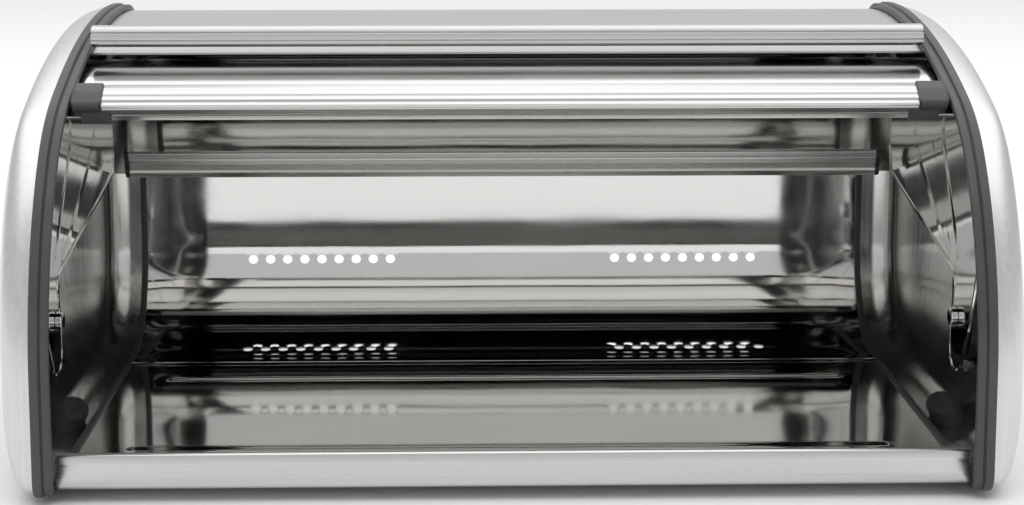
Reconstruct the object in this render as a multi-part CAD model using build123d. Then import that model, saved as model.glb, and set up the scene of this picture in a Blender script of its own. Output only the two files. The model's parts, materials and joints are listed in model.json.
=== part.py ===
from build123d import *
import math
import os

os.makedirs("parts", exist_ok=True)

# A roll-top bread bin, modelled with its lid rolled open.
# Frame: +Z up, the mouth faces -Y, +X is the right-hand side seen from the front.
# Origin: centre of the whole bin, on the surface that its feet stand on. Millimetres.

# ---------------------------------------------------------------- driving dimensions
depth = 272.0            # trim ring, front face to back face
ring_bottom = 2.5        # underside of the trim rings, above the table
ring_inner_x = 185.0     # the two bands of a trim ring, measured from the middle plane
ring_step_x = 189.0
ring_outer_x = 193.0
ring_step = 0.8          # how far the inner band stands back from the outer one
ring_lip_depth = 3.4     # thickness of the ring's outer lip, measured into the bin
ring_leg_x = 184.2       # inner leg that covers the edges of the body sheets
ring_leg_depth = 5.4     # how far that leg reaches into the bin
sheet = 0.8              # sheet steel of the body
sheet_inset = 3.6        # outer face of the body sheets below the ring's outer face
groove_x = 186.4         # how far the body sheets reach into a ring
pan_edge_x = 187.4       # how far a side pan reaches into a ring
dome_inset = 1.5         # outer face of a side pan's straight edge below the ring's outer face
shoulder_rise = 9.6      # rounded corner of a side pan, where its edge turns into the crown
shoulder_share = 0.06    # width of that corner, as a share of the side's half size
crown_rise = 18.0        # how much the side bulges beyond its rounded corner

front_radius = 127.0     # side outline, as tangent arcs, clockwise from the front
front_centre_z = 50.5
front_arc_end = 42.0     # degrees above the horizontal
shoulder_radius = 78.0
shoulder_arc_end = 69.0
crown_radius = 420.0
rear_top_radius = 40.0
rear_low_radius = 52.0
front_low_radius = 8.0

pivot_back = 128.0       # lid pivot, behind the ring's front face
pivot_z = 47.0
lid_radius = 119.0       # outer face of the lid's curved panel
lid_sheet = 0.7
lid_half_width = 195.1
lid_front_angle = 59.0   # ends of the panel, degrees from the horizontal front
lid_rear_angle = 154.6

handle_half_length = 171.6
handle_tip_radius = 128.0
cap_outer_x = 184.3
rear_profile_half_length = 187.0
rear_plug_length = 2.2

arm_sheet = 0.9
arm_low_x = 205.8        # inner face of the arm's tongue, at the pivot
arm_axis_angle = 104.0
boss_radius = 20.0
stud_radius = 3.0
washer_thickness = 0.8
stud_end_x = 203.0       # inner end of the stud, under its head
bore_clearance = 0.05
gap = 0.3                # between the moving lid and the fixed pivot parts
lid_gap = 1.2            # between the lid's panel and the rings

roof_front_back = 120.5  # front edge of the roof sheet
roof_profile_half_length = 184.6
sill_back = 6.2          # outer face of the sill
sill_top = 20.4
sill_half_length = 184.7
lap_front = 204.0        # lap joint between the floor and the back sheet
lap_rear = 214.0

foot_inner_x = 188.0
foot_outer_x = 204.0
foot_height = 7.0
foot_half_length = 13.0
front_foot_back = 45.0
rear_foot_back = 202.0

vent_radius = 2.5
vent_pitch = 8.9
vents_in_group = 9
vent_first_x = 58.5
vent_upper_z = 46.5
vent_lower_back = 232.0

far = 400.0              # larger than the bin, for cutting tools


def across(back):
    """Y of a place that lies `back` behind the rings' front face."""
    return back - depth / 2


def point(back, z, x=0.0):
    return Vector(x, across(back), z)


def polar(radius, angle, x=0.0):
    """A point round the lid's pivot; 0 degrees faces the front, 90 is straight up."""
    a = math.radians(angle)
    return point(pivot_back - radius * math.cos(a), pivot_z + radius * math.sin(a), x)


# ---------------------------------------------------------------- side outline
def outline_arcs():
    """Centre (back, z), radius and end angles of each arc of the side outline."""
    def step(centre, radius, angle, next_radius):
        a = math.radians(angle)
        shift = radius - next_radius
        return (centre[0] - shift * math.cos(a), centre[1] + shift * math.sin(a))

    front = (front_radius, front_centre_z)
    shoulder = step(front, front_radius, front_arc_end, shoulder_radius)
    crown = step(shoulder, shoulder_radius, shoulder_arc_end, crown_radius)
    reach = crown_radius - rear_top_radius
    rear_top_back = depth - rear_top_radius
    lean = rear_top_back - crown[0]
    rear_top = (rear_top_back, crown[1] + math.sqrt(reach ** 2 - lean ** 2))
    crown_end = 90.0 + math.degrees(math.asin(lean / reach))
    rear_low = (depth - rear_low_radius, ring_bottom + rear_low_radius)
    front_low = (front_low_radius, ring_bottom + front_low_radius)
    return [
        (front, front_radius, 0.0, front_arc_end),
        (shoulder, shoulder_radius, front_arc_end, shoulder_arc_end),
        (crown, crown_radius, shoulder_arc_end, crown_end),
        (rear_top, rear_top_radius, crown_end, 180.0),
        (rear_low, rear_low_radius, 180.0, 270.0),
        (front_low, front_low_radius, 270.0, 360.0),
    ]


middle_z = 93.0          # the side outline shrinks towards this point over a dome


def outline(inset, x=0.0, scale=1.0):
    """Closed face of the side outline, moved `inset` inwards, in the plane at `x`."""
    def place(centre, radius, angle):
        a = math.radians(angle)
        back = centre[0] - radius * math.cos(a)
        z = centre[1] + radius * math.sin(a)
        back = depth / 2 + (back - depth / 2) * scale
        z = middle_z + (z - middle_z) * scale
        return point(back, z, x)

    edges = []
    last = None
    first = None
    for centre, radius, start, end in outline_arcs():
        r = radius - inset
        p = place(centre, r, start)
        q = place(centre, r, end)
        if last is not None and (p - last).length > 0.001:
            edges.append(Edge.make_line(last, p))
        edges.append(Edge.make_three_point_arc(p, place(centre, r, (start + end) / 2), q))
        first = first or p
        last = q
    edges.append(Edge.make_line(last, first))
    return Face(Wire(edges))


def slab(face, length):
    return extrude(face, amount=length, dir=(1, 0, 0))


def band(inset_out, inset_in, x0, x1):
    """Everything between two insets of the outline, from x0 to x1."""
    outer = slab(outline(inset_out, x0), x1 - x0)
    return outer - slab(outline(inset_in, x0), x1 - x0)


def block(x, back, z):
    """A box from its three (low, high) ranges."""
    size = (x[1] - x[0], back[1] - back[0], z[1] - z[0])
    centre = (sum(x) / 2, across(sum(back) / 2), sum(z) / 2)
    return Pos(*centre) * Box(*size)


def rod(radius, x0, x1, back, z):
    """A cylinder along X."""
    place = Pos((x0 + x1) / 2, across(back), z) * Rot(0, 90, 0)
    return place * Cylinder(radius, abs(x1 - x0))


def mirrored(shape):
    return mirror(shape, about=Plane.YZ)


def section(points, half_length):
    """A bar with the section `points`, given as (back, z), centred on the middle plane."""
    face = make_face(Polyline(*[point(b, z, -half_length) for b, z in points], close=True))
    return slab(face, 2 * half_length)


def lid_section(points, x0, x1):
    """As section(), with points given as (radius, angle) round the pivot."""
    face = make_face(Polyline(*[polar(r, a, x0) for r, a in points], close=True))
    return slab(face, x1 - x0)


def lid_ring(r_out, r_in, start, end, x0, x1):
    """Part of a round tube about the pivot axis, between two angles."""
    edges = [
        Edge.make_three_point_arc(polar(r_out, start, x0), polar(r_out, (start + end) / 2, x0),
                                  polar(r_out, end, x0)),
        Edge.make_line(polar(r_out, end, x0), polar(r_in, end, x0)),
        Edge.make_three_point_arc(polar(r_in, end, x0), polar(r_in, (start + end) / 2, x0),
                                  polar(r_in, start, x0)),
        Edge.make_line(polar(r_in, start, x0), polar(r_out, start, x0)),
    ]
    return slab(Face(Wire(edges)), x1 - x0)


# ---------------------------------------------------------------- body sheets
def vents():
    """Two groups of round holes in the back, and two more in the bend below them."""
    holes = []
    for side in (-1, 1):
        for i in range(vents_in_group):
            x = side * (vent_first_x + i * vent_pitch)
            holes.append(Pos(x, across(depth), vent_upper_z) * Rot(90, 0, 0) * Cylinder(vent_radius, 40))
            lower = Pos(x, across(vent_lower_back), ring_bottom) * Cylinder(vent_radius, 40)
            holes.append(lower)
    return holes


def roof_and_back_panel():
    """One bent sheet: the roof, the back and the bend into the floor."""
    panel = band(sheet_inset, sheet_inset + sheet, -groove_x, groove_x)
    panel -= block((-far, far), (-far, roof_front_back), (middle_z, far))
    panel -= block((-far, far), (-far, lap_front + 0.2), (-far, middle_z))
    return panel - vents()


def floor_panel():
    """The flat floor, with a rear lip that laps over the back sheet and two pressed beads."""
    low = ring_bottom + sheet_inset
    floor = block((-groove_x, groove_x), (12.0, lap_front), (low, low + sheet))
    lip_x = ring_leg_x - gap
    floor += block((-lip_x, lip_x), (lap_front - sheet, lap_rear), (low + sheet, low + 2 * sheet))
    bead_half_length = 160.0
    bead_radius = 4.0
    bead_rise = 1.2
    for back in (60.0, 176.0):
        bead = rod(bead_radius, -bead_half_length, bead_half_length, back, low + sheet + bead_rise - bead_radius)
        bead -= block((-far, far), (0, depth), (-far, low + sheet))
        floor += bead
    return floor


def front_sill():
    """The low front rail: a flange under the floor, an upright face and a rolled top edge."""
    low = ring_bottom + sheet_inset - sheet
    face_in = sill_back + sheet
    hem = 3.6            # depth of the rolled edge
    points = [
        (24.0, low), (sill_back + 2.0, low), (sill_back + 0.6, low + 0.6), (sill_back, low + 2.0),
        (sill_back, sill_top - 1.4), (sill_back + 0.5, sill_top - 0.4), (sill_back + 1.6, sill_top),
        (sill_back + hem - 1.0, sill_top), (sill_back + hem - 0.2, sill_top - 0.5),
        (sill_back + hem, sill_top - 1.4), (sill_back + hem, sill_top - 6.0),
        (sill_back + hem - sheet, sill_top - 6.0), (sill_back + hem - sheet, sill_top - 1.3),
        (face_in + 0.4, sill_top - sheet), (face_in, sill_top - 1.6),
        (face_in, low + 2.2), (face_in + 0.5, low + sheet), (24.0, low + sheet),
    ]
    return section(points, sill_half_length)


def roof_front_profile():
    """The ribbed bar that finishes the front edge of the roof."""
    low = 174.2
    top = 182.4
    front = 116.2
    rear = 126.4
    hook = roof_front_back + 5.0
    points = [
        (front + 1.2, low), (front + 0.2, low + 0.6), (front, low + 1.5),
        (front + 0.7, low + 2.0), (front, low + 2.5), (front, low + 5.0),
        (front + 0.7, low + 5.6), (front + 0.5, low + 6.4), (front + 1.8, top - 0.4), (front + 3.4, top),
        (rear - 2.4, top), (rear - 0.8, top - 0.9), (rear, top - 2.4), (rear, low + 1.0),
        (rear - 0.8, low + 1.0), (rear - 0.8, top - 2.2), (rear - 2.0, top - 1.0),
        (front + 3.6, top - 1.0), (front + 1.6, top - 2.6), (front + 1.6, low + 0.8),
        (hook, low + 0.8), (hook, low - 4.4), (roof_front_back + 0.2, low - 4.4), (roof_front_back, low - 3.4),
        (roof_front_back, low - 0.6), (roof_front_back - 0.8, low),
    ]
    bar = section(points, roof_profile_half_length)
    return bar - slab(outline(sheet_inset, -far), 2 * far)


# ---------------------------------------------------------------- side pans and trim rings
def dome(inset, x0):
    """The solid under a deep-drawn side face, rising outwards from x0: a rounded corner, then a low crown."""
    corner_steps = 5
    crown_steps = 8
    smallest = 0.15      # the crown is nearly flat inside this share of the outline
    sections = []
    for i in range(corner_steps + 1):
        turn = math.pi / 2 * i / corner_steps
        k = 1 - shoulder_share * (1 - math.cos(turn))
        sections.append((k, shoulder_rise * math.sin(turn)))
    last = 1 - shoulder_share
    for i in range(1, crown_steps + 1):
        sections.append((last + (smallest - last) * i / crown_steps, shoulder_rise))
    return loft([outline(inset, x0 + rise + crown_rise * (1 - k ** 2), k) for k, rise in sections], ruled=True)


def right_pan_hollow():
    return dome(dome_inset + sheet, ring_outer_x)


def right_side_pan():
    """Crowned side of the bin, with a straight edge that the trim ring grips."""
    pan = dome(dome_inset, ring_outer_x + sheet) - right_pan_hollow()
    edge = band(dome_inset, dome_inset + sheet, pan_edge_x, ring_outer_x + sheet)
    return pan + (edge - right_pan_hollow())


def right_trim_ring():
    """Dark plastic edging round the side: two bands outside, and an inner leg over the body sheets."""
    ring = band(0, dome_inset, ring_step_x, ring_outer_x)
    ring += band(ring_step, dome_inset, pan_edge_x, ring_step_x)
    ring += band(ring_step, ring_lip_depth, ring_inner_x, pan_edge_x)
    leg = band(ring_step, ring_leg_depth, ring_leg_x, pan_edge_x)
    leg -= band(0, sheet_inset, ring_leg_x, ring_inner_x)
    leg -= block((0, far), (-far, roof_front_back), (12.0, far))
    ring += leg
    ring -= lid_ring(lid_radius + lid_gap, middle_z, -16.0, 100.0, ring_leg_x, ring_outer_x)
    return ring - roof_and_back_panel() - floor_panel() - front_sill()


def right_pivot_boss():
    """Round plastic seat for the pivot, shaped to the inside of the pan."""
    face_x = arm_low_x + arm_sheet + gap + washer_thickness
    boss = rod(boss_radius, face_x, far, pivot_back, pivot_z) & right_pan_hollow()
    return boss - rod(stud_radius, 0, far, pivot_back, pivot_z)


def right_pivot_stud():
    """Steel stud, fixed to the pan, that the lid turns on."""
    return rod(stud_radius, stud_end_x, far, pivot_back, pivot_z) & right_pan_hollow()


def right_pivot_washer():
    """Thin plastic washer on the boss, that the lid's arm rubs on."""
    x0 = arm_low_x + arm_sheet + gap
    washer = rod(8.0, x0, x0 + washer_thickness, pivot_back, pivot_z)
    return washer - rod(stud_radius, 0, far, pivot_back, pivot_z)


def right_pivot_cap():
    """Polished domed head at the stud's end, which keeps the arm on."""
    x1 = arm_low_x - gap
    cap = rod(4.6, stud_end_x - 0.6, x1, pivot_back, pivot_z)
    rim = cap.edges().filter_by(GeomType.CIRCLE).sort_by(Axis.X)[0]
    cap = fillet(rim, 1.2)
    return cap - rod(stud_radius, stud_end_x, far, pivot_back, pivot_z)


def right_lid_bumper():
    """Oval rubber pad low on the inside of the pan."""
    lean = 24.0
    pad = extrude(Ellipse(7.0, 15.0), amount=12)
    place = Pos(199.5, across(106.0), 2.5) * Rot(0, -lean, 0)
    return (place * pad) & right_pan_hollow()


def feet(back):
    """Two rubber feet, each shaped to the underside of a trim ring and its side pan."""
    reach = (back - foot_half_length, back + foot_half_length)
    foot = block((foot_inner_x, foot_outer_x), reach, (0, foot_height))
    foot = fillet(foot.edges().filter_by(Axis.Z), 3.2)
    foot = chamfer(foot.faces().sort_by(Axis.Z)[0].edges(), 0.7)
    foot -= slab(outline(0, ring_inner_x), ring_outer_x - ring_inner_x)
    foot -= slab(outline(dome_inset, ring_outer_x), sheet)
    foot -= dome(dome_inset, ring_outer_x + sheet)
    return Compound(children=[foot, mirrored(foot)])


# ---------------------------------------------------------------- lid
def lid_panel():
    """Curved sheet, turned in along its front edge."""
    panel = lid_ring(lid_radius, lid_radius - lid_sheet, lid_front_angle, lid_rear_angle,
                     -lid_half_width, lid_half_width)
    lip_depth = 2.0
    lip_half_length = 169.0
    one_degree = lid_radius * math.pi / 180
    lip = lid_ring(lid_radius - lid_sheet, lid_radius - lip_depth, lid_front_angle,
                   lid_front_angle + 0.8 / one_degree, -lip_half_length, lip_half_length)
    return panel + lip


def handle_points(grow=0.0):
    """Section of the handle as (radius, angle): a rounded bar with two ribs and a sloping underside."""
    tip = handle_tip_radius + grow
    base = lid_radius
    low = lid_front_angle - grow / 2
    high = lid_front_angle + 6.0 + grow / 2
    return [
        (base, low + 0.2), (tip - 3.6, low - 1.0), (tip - 1.8, low - 1.4), (tip - 0.8, low - 1.1),
        (tip - 0.9, low - 0.4), (tip - 0.2, low), (tip - 0.4, low + 0.6), (tip, low + 1.2),
        (tip, low + 2.6), (tip - 0.2, low + 3.6), (tip - 0.6, low + 5.0), (tip - 2.0, high - 0.2),
        (base + 2.6, high), (base, high + 1.2),
    ]


def lid_handle_profile():
    """The ribbed bar along the lid's front edge that the hand lifts, a folded hollow section."""
    bar = lid_section(handle_points(), -handle_half_length, handle_half_length)
    low = lid_front_angle
    tip = handle_tip_radius
    inner = [
        (lid_radius + 1.0, low + 0.9), (tip - 3.4, low), (tip - 2.2, low), (tip - 1.4, low + 1.4),
        (tip - 1.4, low + 3.4), (tip - 2.0, low + 4.6), (lid_radius + 3.0, low + 5.2), (lid_radius + 1.0, low + 5.4),
    ]
    bar -= lid_section(inner, -handle_half_length, handle_half_length)
    shell = lid_ring(lid_radius, lid_radius - lid_sheet, lid_front_angle, lid_rear_angle,
                     -handle_half_length, handle_half_length)
    return bar - shell


def right_handle_cap():
    """Plastic end of the handle, with a hook that goes round the lid's front edge."""
    cap = lid_section(handle_points(0.6), handle_half_length, cap_outer_x)
    low = lid_front_angle
    r = lid_radius
    hook = [
        (r - 2.0, low + 4.2), (r - 3.4, low + 3.0), (r - 3.4, low + 0.2), (r - 2.4, low - 0.6), (r + 3.0, low - 1.0),
        (r + 5.0, low - 0.6), (r + 1.0, low + 4.2),
    ]
    cap += lid_section(hook, handle_half_length - 3.4, cap_outer_x - 3.4)
    return cap - lid_panel() - lid_handle_profile()


def lid_rear_profile():
    """The ribbed clip along the lid's rear edge."""
    end = lid_rear_angle
    r = lid_radius
    points = [
        (r + 0.9, end - 5.6), (r + 0.9, end + 0.2), (r + 0.3, end + 0.6), (r - 1.6, end + 0.7),
        (r - 2.9, end + 0.5), (r - 3.5, end), (r - 3.4, end - 1.0), (r - 2.6, end - 1.5),
        (r - 2.9, end - 2.2), (r - 3.2, end - 3.2), (r - 2.9, end - 4.2), (r - 2.3, end - 4.7),
        (r - 2.4, end - 5.4), (r - 1.9, end - 6.3), (r - lid_sheet, end - 6.6), (r - lid_sheet, end - 5.8),
        (r - 1.5, end - 5.5), (r - 2.1, end - 3.2), (r - 2.0, end - 0.6), (r - lid_sheet, end - 0.4),
        (r - lid_sheet, end), (r, end), (r, end - 5.6),
    ]
    x = rear_profile_half_length
    return lid_section(points, -x, x) - lid_panel()


def right_rear_plug():
    """Plastic plug at the end of the rear clip."""
    end = lid_rear_angle
    r = lid_radius
    points = [
        (r + 0.9, end - 5.6), (r + 0.9, end + 0.2), (r + 0.3, end + 0.6), (r - 1.6, end + 0.7),
        (r - 2.9, end + 0.5), (r - 3.5, end), (r - 3.4, end - 3.2), (r - 2.9, end - 5.4), (r - 1.9, end - 6.3),
        (r - lid_sheet, end - 6.6), (r, end - 5.6),
    ]
    x = rear_profile_half_length
    return lid_section(points, x, x + rear_plug_length) - lid_panel()


def right_lid_arm():
    """Polished side plate of the lid: a fan that narrows to a tongue on the pivot."""
    reach_top = 80.0     # distances from the pivot where the plate bends
    reach_low = 24.0
    axis = math.radians(arm_axis_angle)
    along = (-math.cos(axis), math.sin(axis))

    def bent(reach, x):
        return point(pivot_back + along[0] * reach, pivot_z + along[1] * reach, x)

    top_x = lid_half_width
    ends = [(160.0, top_x), (reach_top, top_x), (reach_low, arm_low_x), (-40.0, arm_low_x)]
    path = [bent(r, x) for r, x in ends]
    path += [bent(r, x + arm_sheet) for r, x in reversed(ends)]
    side = Vector(0, along[1], -along[0])
    strip = make_face(Polyline(*path, close=True)).translate(side * -200)
    plate = extrude(strip, amount=400, dir=side)
    corners = [
        (66.0, 190.0), (62.0, 146.0), (79.0, 118.0), (87.0, 98.0), (90.0, 80.0), (96.0, 64.0),
        (105.0, 46.0), (112.0, 34.0), (119.0, 26.0), (126.0, 22.5), (132.0, 22.5), (137.0, 26.0),
        (139.0, 34.0), (138.0, 46.0), (134.0, 57.0), (133.0, 64.0), (137.0, 68.0), (246.0, 105.0),
        (246.0, 190.0),
    ]
    fan = slab(make_face(Polyline(*[point(b, z, ring_outer_x) for b, z in corners], close=True)), 20.0)
    fan &= rod(lid_radius, ring_outer_x, ring_outer_x + 20.0, pivot_back, pivot_z)
    rear_cut = lid_ring(far, 30.0, lid_rear_angle, 200.0, ring_outer_x, ring_outer_x + 20.0)
    arm = (plate & fan) - rear_cut
    return arm - rod(stud_radius + bore_clearance, 0, far, pivot_back, pivot_z)


# ---------------------------------------------------------------- all the pieces
def build():
    right = {
        "side_pan": right_side_pan(),
        "trim_ring": right_trim_ring(),
        "pivot_boss": right_pivot_boss(),
        "pivot_stud": right_pivot_stud(),
        "pivot_washer": right_pivot_washer(),
        "pivot_cap": right_pivot_cap(),
        "lid_bumper": right_lid_bumper(),
        "handle_cap": right_handle_cap(),
        "rear_plug": right_rear_plug(),
        "lid_arm": right_lid_arm(),
    }
    pieces = {
        "roof_and_back_panel": roof_and_back_panel(),
        "floor_panel": floor_panel(),
        "front_sill": front_sill(),
        "roof_front_profile": roof_front_profile(),
        "front_feet": feet(front_foot_back),
        "rear_feet": feet(rear_foot_back),
        "lid_panel": lid_panel(),
        "lid_handle_profile": lid_handle_profile(),
        "lid_rear_profile": lid_rear_profile(),
    }
    for name, shape in right.items():
        pieces["right_" + name] = shape
        pieces["left_" + name] = mirrored(shape)
    return pieces


for node, shape in build().items():
    export_step(shape, "parts/" + node + ".step")
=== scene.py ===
import json
import math

import bmesh
import bpy
from mathutils import Matrix, Vector


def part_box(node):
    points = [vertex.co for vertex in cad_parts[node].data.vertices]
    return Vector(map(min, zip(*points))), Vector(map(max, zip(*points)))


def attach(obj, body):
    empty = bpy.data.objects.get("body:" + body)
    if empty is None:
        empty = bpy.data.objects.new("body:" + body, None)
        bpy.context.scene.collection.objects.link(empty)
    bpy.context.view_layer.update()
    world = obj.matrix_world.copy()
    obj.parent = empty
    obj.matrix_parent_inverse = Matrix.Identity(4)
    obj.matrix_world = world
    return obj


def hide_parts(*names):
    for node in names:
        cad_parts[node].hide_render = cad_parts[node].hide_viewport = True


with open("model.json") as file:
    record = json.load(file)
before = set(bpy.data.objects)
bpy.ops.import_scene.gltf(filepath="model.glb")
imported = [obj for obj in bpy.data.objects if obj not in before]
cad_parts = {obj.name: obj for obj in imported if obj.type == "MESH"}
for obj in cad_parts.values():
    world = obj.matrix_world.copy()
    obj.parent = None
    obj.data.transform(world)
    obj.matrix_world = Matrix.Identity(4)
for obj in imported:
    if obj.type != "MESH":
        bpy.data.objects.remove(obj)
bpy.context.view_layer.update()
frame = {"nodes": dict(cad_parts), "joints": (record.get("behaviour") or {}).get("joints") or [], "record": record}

# A bread bin with a roll-top lid. Sizes are millimetres in the CAD's frame, unless a comment says metres,
# and each mesh is scaled to metres as it is made. "back" is measured from the front of the trim rings.
MM = 0.001


def node_box(node):
    """Lowest and highest corner of a CAD node, in millimetres."""
    low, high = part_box(node)
    return low / MM, high / MM


# ------------------------------------------------------------------ driving dimensions
RING_LOW, RING_HIGH = node_box("right_trim_ring")
DEPTH = RING_HIGH.y - RING_LOW.y
RING_BOTTOM = RING_LOW.z
RING_LEG_X = RING_LOW.x
RING_OUTER_X = RING_HIGH.x
RING_INNER_X = RING_OUTER_X - 8.0  # where the ring's inner band starts
RING_STEP_X = RING_OUTER_X - 4.0   # and where its outer band does
RING_PAN_X = RING_OUTER_X - 5.6    # how far a side pan reaches into its ring
RING_LIP_DEPTH = 3.4               # the ring's thickness, measured into the bin
RING_LEG_DEPTH = 5.4               # and that of its inner leg over the sheets
SHEET = 0.8
SHEET_HALF_WIDTH = RING_PAN_X - 1.0
SHEET_INSET = 3.6                  # outer face of the body sheets, below the ring's outer face
DOME_INSET = 1.5                   # the same for a side pan's straight edge
SHOULDER_RISE = 9.6                # rounded corner of a side pan
SHOULDER_SHARE = 0.06              # its width, as a share of the side's half size
CROWN_RISE = 17.5                  # how much the side bulges beyond that corner
PAN_CORNER_RADIUS = 38.0           # lower front corner of the pan's crown, in the side view
MIDDLE_Z = 93.0                    # the side outline shrinks towards this height over a pan

# Side outline: tangent arcs, clockwise from the front.
FRONT_RADIUS = 127.0
FRONT_CENTRE_Z = 50.5
FRONT_ARC_END = 42.0
SHOULDER_RADIUS = 78.0
SHOULDER_ARC_END = 69.0
CROWN_RADIUS = 420.0
REAR_TOP_RADIUS = 40.0
REAR_LOW_RADIUS = 52.0
FRONT_LOW_RADIUS = 8.0

JOINT = frame["joints"][0]
PIVOT_BACK = JOINT["pos_m"][1] / MM + DEPTH / 2
PIVOT_Z = JOINT["pos_m"][2] / MM
LID_RADIUS = 119.0
LID_SHEET = 0.7
LID_HALF_WIDTH = node_box("lid_panel")[1].x
LID_FRONT_ANGLE = 59.0
LID_REAR_ANGLE = 154.6
HANDLE_TIP_RADIUS = 128.0
HANDLE_HALF_LENGTH = node_box("lid_handle_profile")[1].x
CAP_OUTER_X = node_box("right_handle_cap")[1].x
REAR_PROFILE_HALF_LENGTH = node_box("lid_rear_profile")[1].x
ARM_LOW_X = 205.8
ARM_SHEET = 0.9
ARM_AXIS_ANGLE = 104.0
ROOF_FRONT = 120.5
SILL_TOP = 20.4
LAP_FRONT = 204.2
VENT_RADIUS = 2.5
VENT_PITCH = 8.9
VENTS = 9
VENT_FIRST_X = 58.5
VENT_UPPER_Z = 46.5
VENT_LOWER_BACK = 232.0


# ------------------------------------------------------------------ side outline
def outline_arcs():
    """Centre (back, z), radius, end angles and number of steps of each arc of the side outline."""
    def tangent(centre, radius, angle, next_radius):
        a = math.radians(angle)
        shift = radius - next_radius
        return (centre[0] - shift * math.cos(a), centre[1] + shift * math.sin(a))

    front = (FRONT_RADIUS, FRONT_CENTRE_Z)
    shoulder = tangent(front, FRONT_RADIUS, FRONT_ARC_END, SHOULDER_RADIUS)
    crown = tangent(shoulder, SHOULDER_RADIUS, SHOULDER_ARC_END, CROWN_RADIUS)
    reach = CROWN_RADIUS - REAR_TOP_RADIUS
    lean = DEPTH - REAR_TOP_RADIUS - crown[0]
    rear_top = (DEPTH - REAR_TOP_RADIUS, crown[1] + math.sqrt(reach ** 2 - lean ** 2))
    crown_end = 90.0 + math.degrees(math.asin(lean / reach))
    rear_low = (DEPTH - REAR_LOW_RADIUS, RING_BOTTOM + REAR_LOW_RADIUS)
    front_low = (FRONT_LOW_RADIUS, RING_BOTTOM + FRONT_LOW_RADIUS)
    return [
        (front, FRONT_RADIUS, 0.0, FRONT_ARC_END, 22),
        (shoulder, SHOULDER_RADIUS, FRONT_ARC_END, SHOULDER_ARC_END, 12),
        (crown, CROWN_RADIUS, SHOULDER_ARC_END, crown_end, 22),
        (rear_top, REAR_TOP_RADIUS, crown_end, 180.0, 20),
        (rear_low, REAR_LOW_RADIUS, 180.0, 270.0, 24),
        (front_low, FRONT_LOW_RADIUS, 270.0, 360.0, 14),
    ]


def outline_stations():
    """Points round the outline as (back, z, outward back, outward z), evenly spaced along each stretch."""
    stations = []
    arcs = outline_arcs()
    for i, (centre, radius, start, end, steps) in enumerate(arcs):
        for j in range(steps + 1):
            a = math.radians(start + (end - start) * j / steps)
            n = (-math.cos(a), math.sin(a))
            p = (centre[0] + radius * n[0], centre[1] + radius * n[1], n[0], n[1])
            if stations and math.dist(stations[-1][:2], p[:2]) < 0.01:
                continue
            if stations:
                fill_straight(stations, p)
            stations.append(p)
    fill_straight(stations, stations[0])
    return stations


def fill_straight(stations, p):
    """Adds points along a straight stretch up to, but not including, p."""
    shortest, spacing = 8.0, 6.0
    last = stations[-1]
    length = math.dist(last[:2], p[:2])
    turned = abs(last[2] * p[3] - last[3] * p[2]) > 0.001
    if turned or length < shortest:
        return
    steps = int(length / spacing)
    for k in range(1, steps):
        t = k / steps
        stations.append((last[0] + (p[0] - last[0]) * t, last[1] + (p[1] - last[1]) * t, p[2], p[3]))


STATIONS = outline_stations()


def at(station, inset, x, scale=1.0):
    """The point `inset` inside the outline at a station, optionally shrunk towards the middle of the side."""
    back = station[0] - station[2] * inset
    z = station[1] - station[3] * inset
    back = DEPTH / 2 + (back - DEPTH / 2) * scale
    z = MIDDLE_Z + (z - MIDDLE_Z) * scale
    return (x, back - DEPTH / 2, z)


def polar(radius, angle, x):
    """A point round the lid's pivot; 0 degrees faces the front, 90 is straight up."""
    a = math.radians(angle)
    return (x, PIVOT_BACK - radius * math.cos(a) - DEPTH / 2, PIVOT_Z + radius * math.sin(a))


# ------------------------------------------------------------------ mesh helpers
def finish_mesh(name, bm, materials, sharp_angle=32.0):
    """Scales a bmesh to metres, shades it smooth up to an angle, and puts it in the scene."""
    bmesh.ops.remove_doubles(bm, verts=bm.verts, dist=0.0005)
    bmesh.ops.recalc_face_normals(bm, faces=bm.faces)
    limit = math.radians(sharp_angle)
    for edge in bm.edges:
        edge.smooth = not (len(edge.link_faces) == 2 and edge.calc_face_angle() > limit)
    for face in bm.faces:
        face.smooth = True
    bm.transform(Matrix.Scale(MM, 4))
    mesh = bpy.data.meshes.new(name)
    bm.to_mesh(mesh)
    bm.free()
    for material in materials:
        mesh.materials.append(material)
    piece = bpy.data.objects.new(name, mesh)
    bpy.context.scene.collection.objects.link(piece)
    return piece


def stand_for(piece, node):
    """The piece takes the place of a CAD node and rides on that node's body."""
    body = next(b for b, nodes in frame["record"]["behaviour"]["bodies"].items() if node in nodes)
    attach(piece, body)
    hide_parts(node)
    return piece


def add_loops(bm, loops, close_round=True, close_along=False, index=0):
    """Quads between successive loops of points. Returns the loops of vertices."""
    rows = [[bm.verts.new(p) for p in loop] for loop in loops]
    pairs = list(zip(rows, rows[1:]))
    if close_along:
        pairs.append((rows[-1], rows[0]))
    for a, b in pairs:
        count = len(a)
        for i in range(count if close_round else count - 1):
            j = (i + 1) % count
            face = bm.faces.new((a[i], a[j], b[j], b[i]))
            face.material_index = index
    return rows


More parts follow.
